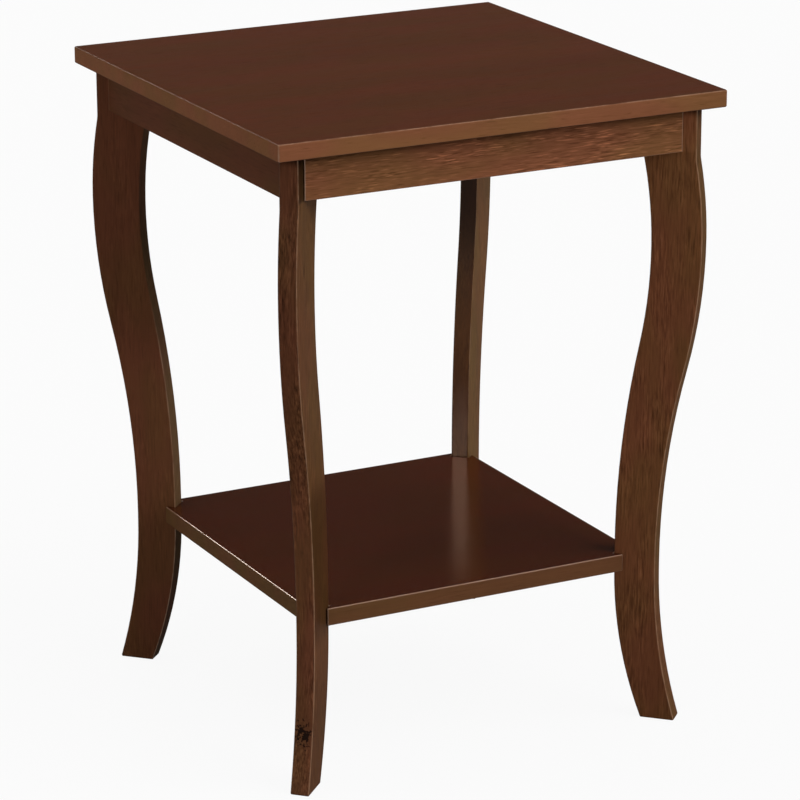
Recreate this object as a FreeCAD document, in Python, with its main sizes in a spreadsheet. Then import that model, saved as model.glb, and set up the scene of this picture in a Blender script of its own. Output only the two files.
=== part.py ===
import FreeCAD, Part
import math
import os
import re
import Sketcher

# End table with a shelf: square top on four aprons, S-curved legs standing on the diagonals,
# and a lower shelf slotted round the legs. Millimetres, +Z up, origin on the floor under the
# middle of the top. The front of the table faces -Y.

# ---------------------------------------------------------------------------------------------
# Driving dimensions
# ---------------------------------------------------------------------------------------------

SIZES = [
    # overall
    ("table_width", 450.0, "side of the square top"),
    ("table_height", 615.0, "floor to the upper face of the top"),
    # top panel
    ("top_thickness", 16.0, "thickness of the top panel"),
    ("top_corner_radius", 2.5, "rounding of the corners of the top, seen from above"),
    ("edge_radius", 1.5, "easing of the long edges of the panels and legs"),
    # aprons
    ("apron_height", 42.0, "height of each apron"),
    ("apron_thickness", 16.0, "thickness of each apron"),
    ("apron_inset", 20.0, "edge of the top to the outer face of an apron"),
    ("apron_edge_radius", 0.8, "easing of the outer edges of an apron"),
    ("leg_gap", 0.3, "end of an apron to the broad face of a leg"),
    # shelf
    ("shelf_inset", 54.0, "edge of the top to the edge of the shelf, seen from above"),
    ("shelf_thickness", 17.0, "thickness of the shelf"),
    ("shelf_height", 164.0, "floor to the upper face of the shelf"),
    ("slot_clearance", 0.5, "side of a corner slot to the broad face of the leg in it"),
    ("slot_gap", 0.2, "bottom of a corner slot to the inner edge of the leg"),
    # legs, measured along the diagonal of the table
    ("leg_thickness", 18.0, "thickness of the board that a leg is cut from"),
    ("leg_setback", 25.6, "corner of the top to the outer edge of the leg head"),
    ("head_width", 51.5, "width of the straight head of a leg"),
    ("shoulder_radius", 423.0, "curve between the head and the bulge"),
    ("shoulder_blend", 25.0, "softening of the slight angle between head and shoulder"),
    ("bulge_reach", 7.1, "how far the bulge stands out beyond the head"),
    ("bulge_width", 48.2, "width of the leg at the bulge"),
    ("outer_bulge_drop", 126.6, "under side of the top to the widest point, outer edge"),
    ("inner_bulge_drop", 132.5, "under side of the top to the widest point, inner edge"),
    ("waist_setback", 31.4, "outer edge of the head to the outer edge of the waist"),
    ("waist_width", 39.8, "width of the leg at the waist"),
    ("outer_waist_flat", 8.0, "straight stretch of the waist, outer edge"),
    ("inner_waist_margin", 4.0, "straight stretch of the waist above the shelf, inner edge"),
    ("outer_bend_share", 0.40, "part of the bend's height that curves with the bulge, outer edge"),
    ("inner_bend_share", 0.32, "part of the bend's height that curves with the bulge, inner edge"),
    ("foot_kick", 21.5, "how far the foot stands out beyond the waist"),
    ("foot_width", 33.6, "width of the leg on the floor"),
    # corner blocks
    ("block_thickness", 20.0, "thickness of a corner block along the diagonal"),
    ("block_height", 38.0, "height of a corner block"),
    # joint heights, from the under side of the top
    ("upper_bolt_drop", 10.0, "under side of the top to the upper bolts and screws of a block"),
    ("bolt_spacing", 18.0, "upper to lower bolts and screws of a block"),
    # leg bolts, washers and inserts
    ("bolt_radius", 2.95, "shank of a leg bolt"),
    ("bolt_length", 35.0, "leg bolt under its head"),
    ("bolt_head_radius", 5.0, "socket head of a leg bolt"),
    ("bolt_head_height", 6.0, "socket head of a leg bolt"),
    ("socket_size", 5.0, "hexagon socket across its flats"),
    ("socket_depth", 3.0, "hexagon socket"),
    ("bolt_clearance", 0.35, "round the bolt in the block and the washers"),
    ("flat_washer_radius", 6.0, "outer radius of a flat washer"),
    ("flat_washer_thickness", 1.6, "thickness of a flat washer"),
    ("spring_washer_radius", 5.4, "outer radius of a spring washer"),
    ("spring_washer_thickness", 1.5, "thickness of a spring washer"),
    ("spring_washer_split", 1.0, "width of the split in a spring washer"),
    ("insert_radius", 4.9, "outer radius of a threaded insert"),
    ("insert_length", 13.0, "length of a threaded insert"),
    ("fit_clearance", 0.1, "round a screw, dowel or insert in its hole"),
    # screws through the corner blocks
    ("screw_radius", 2.0, "shank of a wood screw"),
    ("screw_head_radius", 4.0, "pan head of a wood screw"),
    ("screw_head_height", 2.6, "pan head of a wood screw"),
    ("screw_bore_radius", 4.6, "counterbore over the head of a wood screw"),
    ("side_screw_length", 24.0, "block screw under its head"),
    ("side_screw_seat", 12.0, "inner face of the apron to the seat of a block screw"),
    ("side_screw_reach", 80.0, "edge of the top to the axis of a block screw, along the apron"),
    ("rise_screw_length", 43.0, "top screw under its head"),
    ("rise_screw_seat", 5.0, "lower face of the block to the seat of a top screw"),
    ("rise_screw_spread", 12.0, "diagonal to the axis of a top screw"),
    ("hole_end_gap", 1.0, "beyond the tip of a screw or the end of a dowel"),
    # dowels between aprons and top
    ("dowel_radius", 4.0, "radius of a wooden dowel"),
    ("dowel_length", 30.0, "length of a wooden dowel"),
    ("dowel_rise", 10.0, "part of a dowel in the top"),
    ("dowel_spread", 100.0, "middle of the apron to the axis of a dowel"),
    # cam fittings between shelf and legs
    ("cam_radius", 7.4, "radius of a cam lock"),
    ("cam_height", 12.8, "height of a cam lock"),
    ("cam_recess", 0.2, "under side of the shelf to the face of a cam lock"),
    ("cam_reach", 24.0, "inner edge of the leg to the axis of a cam lock"),
    ("cam_slot_width", 1.4, "cross slot for the driver"),
    ("cam_slot_length", 8.0, "cross slot for the driver"),
    ("cam_slot_depth", 2.0, "cross slot for the driver"),
    ("cam_thread_radius", 2.5, "thread of a cam bolt"),
    ("cam_thread_length", 11.0, "thread of a cam bolt"),
    ("cam_shank_radius", 3.0, "shank and head of a cam bolt"),
    ("cam_neck_radius", 1.8, "neck behind the head of a cam bolt"),
    ("cam_neck_length", 3.0, "neck behind the head of a cam bolt"),
    ("cam_head_length", 2.5, "head of a cam bolt"),
    ("cam_bore_radius", 3.2, "bore for a cam bolt in the shelf and the cam lock"),
]

# The four corners, by the direction of their diagonal, and the four sides, by their turn.
CORNERS = {"front_left": 225.0, "front_right": 315.0, "back_left": 135.0, "back_right": 45.0}
SIDES = {"front": 0.0, "right": 90.0, "back": 180.0, "left": 270.0}

# Places that several pieces share, written with the names in the sheet.
UNDERSIDE = "(table_height - top_thickness)"
HEAD_OUT = "(table_width / sqrt(2) - leg_setback)"
HEAD_IN = "(" + HEAD_OUT + " - head_width)"
BULGE_OUT = "(" + HEAD_OUT + " + bulge_reach)"
BULGE_IN = "(" + BULGE_OUT + " - bulge_width)"
WAIST_OUT = "(" + HEAD_OUT + " - waist_setback)"
WAIST_IN = "(" + WAIST_OUT + " - waist_width)"
FOOT_OUT = "(" + WAIST_OUT + " + foot_kick)"
FOOT_IN = "(" + FOOT_OUT + " - foot_width)"
SHELF_SIDE = "(table_width - 2 * shelf_inset)"
SHELF_UNDER = "(shelf_height - shelf_thickness)"
SHELF_MIDDLE = "(shelf_height - shelf_thickness / 2)"
BLOCK_IN = "(" + HEAD_IN + " - block_thickness)"
LOWER_BOLT = "(" + UNDERSIDE + " - upper_bolt_drop - bolt_spacing)"
APRON_OUT = "(table_width / 2 - apron_inset)"
APRON_IN = "(" + APRON_OUT + " - apron_thickness)"
APRON_MIDDLE = "(" + APRON_OUT + " - apron_thickness / 2)"
BLOCK_BOTTOM = "(" + UNDERSIDE + " - block_height)"
SCREW_COLUMN = "(" + HEAD_IN + " - block_thickness / 2)"
CAM_AXIS = "(" + WAIST_IN + " - cam_reach)"

# An edge this close to a line or a plane, in mm, counts as lying on it.
NEAR = 0.01


# ---------------------------------------------------------------------------------------------
# Document, sheet and small helpers
# ---------------------------------------------------------------------------------------------

doc = FreeCAD.newDocument("EndTable")
sheet = doc.addObject("Spreadsheet::Sheet", "Sizes")
size = {}
for row, (alias, value, note) in enumerate(SIZES, start=1):
    sheet.set("A%d" % row, alias)
    sheet.set("B%d" % row, str(value))
    sheet.set("C%d" % row, note)
    sheet.setAlias("B%d" % row, alias)
    size[alias] = value
doc.recompute()


def in_sheet(text):
    """Point each sheet name in an expression, a word with an underscore, at the sheet."""
    return re.sub(r"\b[a-z]+(?:_[a-z]+)+\b", lambda found: "Sizes." + found.group(0), text)


def bind(item, prop, text):
    item.setExpression(prop, in_sheet(text))


def new_body(label, turn=0.0):
    """A body in the table's frame, turned about the table's upright axis."""
    body = doc.addObject("PartDesign::Body", label)
    body.Label = label
    body.Placement = FreeCAD.Placement(FreeCAD.Vector(), FreeCAD.Rotation(turn, 0, 0))
    return body


def origin_part(body, role):
    return next(item for item in body.Origin.OriginFeatures if item.Role == role)


def new_sketch(body, name, role, base=("0", "0", "0"), turn=0.0, swing=0.0):
    """A sketch on one of the body's planes, moved by three expressions in the plane's axes.

    It is turned within its plane and swung about the plane's Y axis, in degrees.
    """
    sketch = body.newObject("Sketcher::SketchObject", name)
    sketch.AttachmentSupport = [(origin_part(body, role), "")]
    sketch.MapMode = "FlatFace"
    turned = FreeCAD.Rotation(FreeCAD.Vector(0, 0, 1), turn)
    swung = FreeCAD.Rotation(FreeCAD.Vector(0, 1, 0), swing)
    sketch.AttachmentOffset = FreeCAD.Placement(FreeCAD.Vector(), swung.multiply(turned))
    for axis, text in zip("xyz", base):
        bind(sketch, "AttachmentOffset.Base." + axis, text)
    return sketch


def hold(sketch, kind, curve, end, name, text):
    """Hold a point of the sketch at an expression, across or up from the sketch's origin."""
    point = sketch.getPoint(curve, end)
    start = point.x if kind == "DistanceX" else point.y
    row = sketch.addConstraint(Sketcher.Constraint(kind, -1, 1, curve, end, start))
    sketch.renameConstraint(row, name + kind)
    bind(sketch, "Constraints." + name + kind, text)


def fix_point(sketch, curve, end, name, across, up):
    hold(sketch, "DistanceX", curve, end, name, across)
    hold(sketch, "DistanceY", curve, end, name, up)


def draw_polygon(sketch, corners):
    """A closed outline through corners that are given as pairs of expressions."""
    count = len(corners)
    start = [
        FreeCAD.Vector(math.cos(2 * math.pi * i / count), math.sin(2 * math.pi * i / count), 0)
        for i in range(count)
    ]
    for i in range(count):
        sketch.addGeometry(Part.LineSegment(start[i], start[(i + 1) % count]), False)
    for i in range(count):
        sketch.addConstraint(Sketcher.Constraint("Coincident", i, 2, (i + 1) % count, 1))
    for i, (across, up) in enumerate(corners):
        fix_point(sketch, i, 1, "corner%d" % i, across, up)


def draw_square(sketch, side):
    half = side + " / 2"
    draw_polygon(sketch, box_corners("-" + half, half, "-" + half, half))


def draw_circle(sketch, across, up, radius):
    circle = Part.Circle(FreeCAD.Vector(), FreeCAD.Vector(0, 0, 1), 1.0)
    row = sketch.addGeometry(circle, False)
    name = "circle%d" % row
    fix_point(sketch, row, 3, name, across, up)
    size_row = sketch.addConstraint(Sketcher.Constraint("Radius", row, 1.0))
    sketch.renameConstraint(size_row, name + "Radius")
    bind(sketch, "Constraints." + name + "Radius", radius)


def draw_steps(sketch, steps, start="0"):
    """Half the section of a turned piece along the sketch's X axis: (length, radius) pairs."""
    corners = [(start, "0")]
    along = start
    for length, radius in steps:
        corners.append((along, radius))
        along = along + " + " + length
        corners.append((along, radius))
    corners.append((along, "0"))
    draw_polygon(sketch, corners)


def box_corners(left, right, low, high):
    return [(left, low), (right, low), (right, high), (left, high)]


def pad(body, sketch, length):
    feature = body.newObject("PartDesign::Pad", sketch.Name + "Pad")
    feature.Profile = sketch
    bind(feature, "Length", length)
    sketch.Visibility = False
    return feature


def pocket(body, sketch, length, reverse=False):
    feature = body.newObject("PartDesign::Pocket", sketch.Name + "Pocket")
    feature.Profile = sketch
    feature.Reversed = reverse
    bind(feature, "Length", length)
    sketch.Visibility = False
    return feature


def turn_round(body, sketch, kind="Revolution"):
    """Turn a sketch about its own X axis, as a solid or, with Groove, as a hole."""
    feature = body.newObject("PartDesign::" + kind, sketch.Name + kind)
    feature.Profile = sketch
    feature.ReferenceAxis = (sketch, ["H_Axis"])
    feature.Angle = 360.0
    sketch.Visibility = False
    return feature


def round_edges(body, name, radius, wanted):
    """Fillet the edges of the body's last feature that the test picks."""
    doc.recompute()
    base = body.Tip
    names = ["Edge%d" % i for i, edge in enumerate(base.Shape.Edges, start=1) if wanted(edge)]
    feature = body.newObject("PartDesign::Fillet", name)
    feature.Base = (base, names)
    bind(feature, "Radius", radius)
    body.Tip = feature
    return feature


def repeat(body, name, originals, mirror=None, spacing=None, corners=False):
    """Copies of features: mirrored in a plane, once more higher up, and at all four corners."""
    group = body.newObject("PartDesign::MultiTransform", name)
    group.Originals = originals
    moves = []
    if mirror:
        move = body.newObject("PartDesign::Mirrored", name + "Mirrored")
        move.MirrorPlane = (origin_part(body, mirror), [""])
        moves.append(move)
    if spacing:
        move = body.newObject("PartDesign::LinearPattern", name + "Higher")
        move.Direction = (origin_part(body, "Z_Axis"), [""])
        bind(move, "Length", spacing)
        move.Occurrences = 2
        moves.append(move)
    if corners:
        move = body.newObject("PartDesign::PolarPattern", name + "Corners")
        move.Axis = (origin_part(body, "Z_Axis"), [""])
        move.Angle = 360.0
        move.Occurrences = 4
        moves.append(move)
    group.Transformations = moves
    body.Tip = group
    return group


def upright(edge):
    box = edge.BoundBox
    return box.XLength < NEAR and box.YLength < NEAR


def level_at(edge, *heights):
    """True for an edge that lies level at one of the heights."""
    box = edge.BoundBox
    return box.ZLength < NEAR and any(abs(box.ZMin - height) < NEAR for height in heights)


# ---------------------------------------------------------------------------------------------
# Where the fasteners sit: one place for each fastener and for the holes it goes into
# ---------------------------------------------------------------------------------------------

# In a corner's frame X runs out along the diagonal. In a side's frame X runs along the apron and
# -Y points out. On XZ_Plane a sketch's axes are the body's X, Z and -Y; on YZ_Plane they are the
# body's Y, Z and X. Each place is given along those axes.
BOLT_PLACE = (BLOCK_IN, LOWER_BOLT, "0")
INSERT_PLACE = (HEAD_IN, LOWER_BOLT, "0")
RISE_SCREW_PLACE = (SCREW_COLUMN, BLOCK_BOTTOM + " + rise_screw_seat", "-rise_screw_spread")
CAM_BOLT_PLACE = (WAIST_IN, SHELF_MIDDLE, "0")
SIDE_SCREW_PLACE = (
    "-(" + APRON_IN + " - side_screw_seat)",
    LOWER_BOLT,
    "table_width / 2 - side_screw_reach",
)
DOWEL_PLACE = ("-" + APRON_MIDDLE, UNDERSIDE + " + dowel_rise", "dowel_spread")

# A block screw seen from a corner's frame, where its axis stands at 45 degrees to the diagonal.
SEAT_INSET = "(apron_inset + apron_thickness + side_screw_seat)"
WING_SCREW_PLACE = (
    "(table_width - side_screw_reach - " + SEAT_INSET + ") / sqrt(2)",
    LOWER_BOLT,
    "-(side_screw_reach - " + SEAT_INSET + ") / sqrt(2)",
)

# Directions of a turned sketch's X axis, in degrees within its plane.
UP = 90.0
DOWN = 270.0
BACKWARD = 180.0

# Half of the right angle between two aprons, and the turn from the table to its diagonals.
DIAGONAL = 45.0


# ---------------------------------------------------------------------------------------------
# Panels
# ---------------------------------------------------------------------------------------------

def make_top_panel():
    """The top, in a frame turned onto the diagonals, with blind holes in its under side."""
    body = new_body("top_panel", DIAGONAL)
    outline = new_sketch(body, "TopOutline", "XY_Plane", ("0", "0", UNDERSIDE), -DIAGONAL)
    draw_square(outline, "table_width")
    pad(body, outline, "top_thickness")
    round_edges(body, "TopCorners", "top_corner_radius", upright)
    levels = (size["table_height"], size["table_height"] - size["top_thickness"])
    round_edges(body, "TopEdges", "edge_radius", lambda edge: level_at(edge, *levels))

    dowels = new_sketch(body, "TopDowelHoles", "XY_Plane", ("0", "0", UNDERSIDE), -DIAGONAL)
    for along in ("dowel_spread", "-dowel_spread"):
        for inset in (APRON_MIDDLE, "-" + APRON_MIDDLE):
            draw_circle(dowels, along, inset, "dowel_radius + fit_clearance")
            draw_circle(dowels, inset, along, "dowel_radius + fit_clearance")
    pocket(body, dowels, "dowel_rise + hole_end_gap", reverse=True)

    screws = new_sketch(body, "TopScrewHoles", "XY_Plane", ("0", "0", UNDERSIDE))
    for along in ("rise_screw_spread", "-rise_screw_spread"):
        for reach in (SCREW_COLUMN, "-" + SCREW_COLUMN):
            draw_circle(screws, reach, along, "screw_radius + fit_clearance")
            draw_circle(screws, along, reach, "screw_radius + fit_clearance")
    in_top = "rise_screw_length - (block_height - rise_screw_seat)"
    pocket(body, screws, in_top + " + hole_end_gap", reverse=True)
    return body


def make_shelf():
    """The shelf, in a frame turned onto the diagonals, slotted and bored at each corner."""
    body = new_body("shelf", DIAGONAL)
    outline = new_sketch(body, "ShelfOutline", "XY_Plane", ("0", "0", SHELF_UNDER), -DIAGONAL)
    draw_square(outline, SHELF_SIDE)
    pad(body, outline, "shelf_thickness")

    slot = new_sketch(body, "ShelfSlot", "XY_Plane", ("0", "0", SHELF_UNDER))
    half_slot = "(leg_thickness / 2 + slot_clearance)"
    corners = box_corners(WAIST_IN + " - slot_gap", SHELF_SIDE, "-" + half_slot, half_slot)
    draw_polygon(slot, corners)
    slot_cut = pocket(body, slot, "shelf_thickness", reverse=True)
    repeat(body, "ShelfSlots", [slot_cut], corners=True)

    # the upright edges where a slot opens in a side of the shelf stand level with that side
    side = (size["table_width"] - 2 * size["shelf_inset"]) / math.sqrt(2)

    def at_mouth(edge):
        middle = edge.CenterOfMass
        on_side = abs(abs(middle.x) + abs(middle.y) - side) < NEAR
        return upright(edge) and on_side

    round_edges(body, "ShelfMouths", "edge_radius", at_mouth)
    levels = (size["shelf_height"], size["shelf_height"] - size["shelf_thickness"])
    round_edges(body, "ShelfEdges", "edge_radius", lambda edge: level_at(edge, *levels))

    cam_hole = new_sketch(body, "ShelfCamHole", "XY_Plane", ("0", "0", SHELF_UNDER))
    draw_circle(cam_hole, CAM_AXIS, "0", "cam_radius + fit_clearance")
    cam_cut = pocket(body, cam_hole, "cam_recess + cam_height + fit_clearance", reverse=True)

    bolt_hole = new_sketch(body, "ShelfCamBore", "XZ_Plane", CAM_BOLT_PLACE, BACKWARD)
    draw_steps(bolt_hole, [("cam_reach", "cam_bore_radius")])
    bolt_cut = turn_round(body, bolt_hole, "Groove")
    repeat(body, "ShelfCorners", [cam_cut, bolt_cut], corners=True)
    return body


# ---------------------------------------------------------------------------------------------
# Aprons and corner blocks
# ---------------------------------------------------------------------------------------------

def make_apron(side, turn):
    """A board with its ends mitred along the legs, drawn as the front one and turned."""
    name = "apron_" + side
    body = new_body(name, turn)
    outline = new_sketch(body, name + "_outline", "XY_Plane", ("0", "0", UNDERSIDE))
    half_outer = "(" + APRON_OUT + " - sqrt(2) * (leg_thickness / 2 + leg_gap))"
    half_inner = "(" + half_outer + " - apron_thickness)"
    draw_polygon(
        outline,
        [
            ("-" + half_outer, "-" + APRON_OUT),
            (half_outer, "-" + APRON_OUT),
            (half_inner, "-" + APRON_IN),
            ("-" + half_inner, "-" + APRON_IN),
        ],
    )
    pad(body, outline, "apron_height").Reversed = True
    face = size["table_width"] / 2 - size["apron_inset"]
    top = size["table_height"] - size["top_thickness"]

    def on_outer_face(edge):
        box = edge.BoundBox
        return box.YMax < NEAR - face and not level_at(edge, top)

    round_edges(body, name + "_edges", "apron_edge_radius", on_outer_face)

    dowels = new_sketch(body, name + "_dowel_holes", "XY_Plane", ("0", "0", UNDERSIDE))
    for along in ("dowel_spread", "-dowel_spread"):
        draw_circle(dowels, along, "-" + APRON_MIDDLE, "dowel_radius + fit_clearance")
    pocket(body, dowels, "dowel_length - dowel_rise + hole_end_gap")

    screw = new_sketch(body, name + "_screw_hole", "YZ_Plane", SIDE_SCREW_PLACE, BACKWARD)
    in_apron = "side_screw_length + hole_end_gap"
    draw_steps(screw, [(in_apron, "screw_radius + fit_clearance")])
    hole = turn_round(body, screw, "Groove")
    repeat(body, name + "_screw_holes", [hole], mirror="YZ_Plane", spacing="bolt_spacing")
    return body


def make_corner_block(corner, turn):
    """A trapezoid across the inside corner, against two aprons and the head of the leg."""
    name = "corner_block_" + corner
    body = new_body(name, turn)
    outline = new_sketch(body, name + "_outline", "XY_Plane", ("0", "0", BLOCK_BOTTOM))
    apron_line = "sqrt(2) * " + APRON_IN
    half_outer = "(" + apron_line + " - " + HEAD_IN + ")"
    half_inner = "(" + apron_line + " - " + BLOCK_IN + ")"
    draw_polygon(
        outline,
        [
            (BLOCK_IN, "-" + half_inner),
            (HEAD_IN, "-" + half_outer),
            (HEAD_IN, half_outer),
            (BLOCK_IN, half_inner),
        ],
    )
    pad(body, outline, "block_height")

    bolt = new_sketch(body, name + "_bolt_hole", "XZ_Plane", BOLT_PLACE)
    draw_steps(bolt, [("block_thickness", "bolt_radius + bolt_clearance")])
    bolt_hole = turn_round(body, bolt, "Groove")
    repeat(body, name + "_bolt_holes", [bolt_hole], spacing="bolt_spacing")

    wing = new_sketch(body, name + "_side_hole", "XZ_Plane", WING_SCREW_PLACE, swing=DIAGONAL)
    wing_steps = [
        ("block_thickness", "screw_bore_radius"),
        ("side_screw_length", "screw_radius + fit_clearance"),
    ]
    draw_steps(wing, wing_steps, start="-block_thickness")
    wing_hole = turn_round(body, wing, "Groove")
    repeat(body, name + "_side_holes", [wing_hole], mirror="XZ_Plane", spacing="bolt_spacing")

    rise = new_sketch(body, name + "_rise_hole", "XZ_Plane", RISE_SCREW_PLACE, UP)
    rise_steps = [
        ("rise_screw_seat", "screw_bore_radius"),
        ("block_height", "screw_radius + fit_clearance"),
    ]
    draw_steps(rise, rise_steps, start="-rise_screw_seat")
    rise_hole = turn_round(body, rise, "Groove")
    repeat(body, name + "_rise_holes", [rise_hole], mirror="XZ_Plane")
    return body


# ---------------------------------------------------------------------------------------------
# Legs
# ---------------------------------------------------------------------------------------------

def leg_edge_start(head, bulge, waist, foot, share):
    """Curves of one long edge of a leg, from its head down, near where the sheet puts them."""
    floor_to_flat = size["shelf_height"] - size["shelf_thickness"]
    under = size["table_height"] - size["top_thickness"]
    shoulder = size["shoulder_radius"]
    rise = math.sqrt(shoulder**2 - (shoulder - bulge[0] + head) ** 2)
    offset = bulge[0] - waist[0]
    drop = bulge[1] - waist[1]
    both_radii = (offset**2 + drop**2) / (2 * offset)
    lean = math.asin(drop / both_radii)
    kick = foot - waist[0]
    foot_radius = (kick**2 + floor_to_flat**2) / (2 * kick)
    foot_lean = math.asin(floor_to_flat / foot_radius)

    def arc(centre, radius, first, last):
        circle = Part.Circle(FreeCAD.Vector(*centre, 0), FreeCAD.Vector(0, 0, 1), radius)
        return Part.ArcOfCircle(circle, first, last)

    def line(first, last):
        return Part.LineSegment(FreeCAD.Vector(*first, 0), FreeCAD.Vector(*last, 0))

    bulge_radius = share * both_radii
    waist_radius = (1 - share) * both_radii
    return [
        line((head, under), (head, bulge[1] + rise)),
        arc((bulge[0] - shoulder, bulge[1]), shoulder, 0, math.asin(rise / shoulder)),
        arc((bulge[0] - bulge_radius, bulge[1]), bulge_radius, -lean, 0),
        arc((waist[0] + waist_radius, waist[1]), waist_radius, math.pi - lean, math.pi),
        line(waist, (waist[0], floor_to_flat)),
        arc((waist[0] + foot_radius, floor_to_flat), foot_radius, math.pi, math.pi + foot_lean),
    ]


def draw_leg_edge(sketch, name, curves, head, bulge, waist, foot, share):
    """Draw one long edge and tie it to the sheet. Returns its first and last curve."""
    first = [sketch.addGeometry(curve, False) for curve in curves][0]
    head_line, shoulder, bulge_arc, waist_arc, flat, foot_arc = range(first, first + 6)
    start, end, centre = 1, 2, 3
    joints = [
        (head_line, end, shoulder, end),
        (shoulder, start, bulge_arc, end),
        (waist_arc, end, flat, start),
        (flat, end, foot_arc, start),
    ]
    for joint in joints:
        sketch.addConstraint(Sketcher.Constraint("Coincident", *joint))
    # the shoulder meets the head at a slight angle; everything below it runs on smoothly
    sketch.addConstraint(Sketcher.Constraint("Vertical", head_line))
    for curve, point in ((shoulder, start), (bulge_arc, end), (waist_arc, end), (foot_arc, start)):
        sketch.addConstraint(Sketcher.Constraint("Horizontal", curve, centre, curve, point))
    sketch.addConstraint(Sketcher.Constraint("Tangent", bulge_arc, start, waist_arc, start))
    row = sketch.addConstraint(Sketcher.Constraint("Radius", shoulder, size["shoulder_radius"]))
    sketch.renameConstraint(row, name + "Shoulder")
    bind(sketch, "Constraints." + name + "Shoulder", "shoulder_radius")
    fix_point(sketch, head_line, start, name + "Head", head, UNDERSIDE)
    fix_point(sketch, bulge_arc, end, name + "Bulge", *bulge)
    fix_point(sketch, waist_arc, end, name + "Waist", *waist)
    fix_point(sketch, flat, end, name + "Flat", waist[0], SHELF_UNDER)
    fix_point(sketch, foot_arc, end, name + "Foot", foot, "0")
    turn_height = bulge[1] + " - " + share + " * (" + bulge[1] + " - " + waist[1] + ")"
    hold(sketch, "DistanceY", waist_arc, start, name + "Turn", turn_height)
    return head_line, foot_arc


def leg_start_points():
    """Where the outer and inner edges of a leg begin, as numbers worked out from the sheet."""
    under = size["table_height"] - size["top_thickness"]
    flat = size["shelf_height"] - size["shelf_thickness"]
    head = size["table_width"] / math.sqrt(2) - size["leg_setback"]
    bulge = head + size["bulge_reach"]
    waist = head - size["waist_setback"]
    foot = waist + size["foot_kick"]
    outer = leg_edge_start(
        head,
        (bulge, under - size["outer_bulge_drop"]),
        (waist, flat + size["outer_waist_flat"]),
        foot,
        size["outer_bend_share"],
    )
    inner = leg_edge_start(
        head - size["head_width"],
        (bulge - size["bulge_width"], under - size["inner_bulge_drop"]),
        (waist - size["waist_width"], size["shelf_height"] + size["inner_waist_margin"]),
        foot - size["foot_width"],
        size["inner_bend_share"],
    )
    return outer, inner


def make_leg(corner, turn):
    """A leg sawn from a board: its outline stands in the diagonal plane and is padded both ways."""
    name = "leg_" + corner
    body = new_body(name, turn)
    outline = new_sketch(body, name + "_outline", "XZ_Plane")
    outer_start, inner_start = leg_start_points()
    outer_head, outer_foot = draw_leg_edge(
        outline,
        "outer",
        outer_start,
        HEAD_OUT,
        (BULGE_OUT, "(" + UNDERSIDE + " - outer_bulge_drop)"),
        (WAIST_OUT, "(" + SHELF_UNDER + " + outer_waist_flat)"),
        FOOT_OUT,
        "outer_bend_share",
    )
    inner_head, inner_foot = draw_leg_edge(
        outline,
        "inner",
        inner_start,
        HEAD_IN,
        (BULGE_IN, "(" + UNDERSIDE + " - inner_bulge_drop)"),
        (WAIST_IN, "(shelf_height + inner_waist_margin)"),
        FOOT_IN,
        "inner_bend_share",
    )
    for outer, inner, point in ((outer_head, inner_head, 1), (outer_foot, inner_foot, 2)):
        ends = Part.LineSegment(outline.getPoint(outer, point), outline.getPoint(inner, point))
        line = outline.addGeometry(ends, False)
        outline.addConstraint(Sketcher.Constraint("Coincident", line, 1, outer, point))
        outline.addConstraint(Sketcher.Constraint("Coincident", line, 2, inner, point))
    pad(body, outline, "leg_thickness").Midplane = True
    top = size["table_height"] - size["top_thickness"]
    bulges = top - min(size["outer_bulge_drop"], size["inner_bulge_drop"])

    def at_kink(edge):
        box = edge.BoundBox
        across = box.XLength + box.ZLength < NEAR
        return across and bulges + NEAR < box.ZMin < top - NEAR

    def on_outline(edge):
        along_broad_face = edge.BoundBox.YLength < NEAR and not level_at(edge, top)
        return along_broad_face or level_at(edge, 0.0)

    round_edges(body, name + "_shoulders", "shoulder_blend", at_kink)
    round_edges(body, name + "_edges", "edge_radius", on_outline)

    insert = new_sketch(body, name + "_insert_hole", "XZ_Plane", INSERT_PLACE)
    # the hole ends beyond the insert or the tip of the bolt in it, whichever is deeper
    in_leg = "bolt_length - block_thickness - flat_washer_thickness - spring_washer_thickness"
    hole_depth = "(max(insert_length; " + in_leg + ") + hole_end_gap)"
    draw_steps(insert, [(hole_depth, "insert_radius + fit_clearance")])
    insert_hole = turn_round(body, insert, "Groove")
    repeat(body, name + "_insert_holes", [insert_hole], spacing="bolt_spacing")

    cam = new_sketch(body, name + "_cam_hole", "XZ_Plane", CAM_BOLT_PLACE)
    cam_depth = "cam_thread_length + hole_end_gap"
    draw_steps(cam, [(cam_depth, "cam_thread_radius + fit_clearance")])
    turn_round(body, cam, "Groove")
    return body


# ---------------------------------------------------------------------------------------------
# Fasteners: each node holds all the copies of one fastener
# ---------------------------------------------------------------------------------------------

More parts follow.
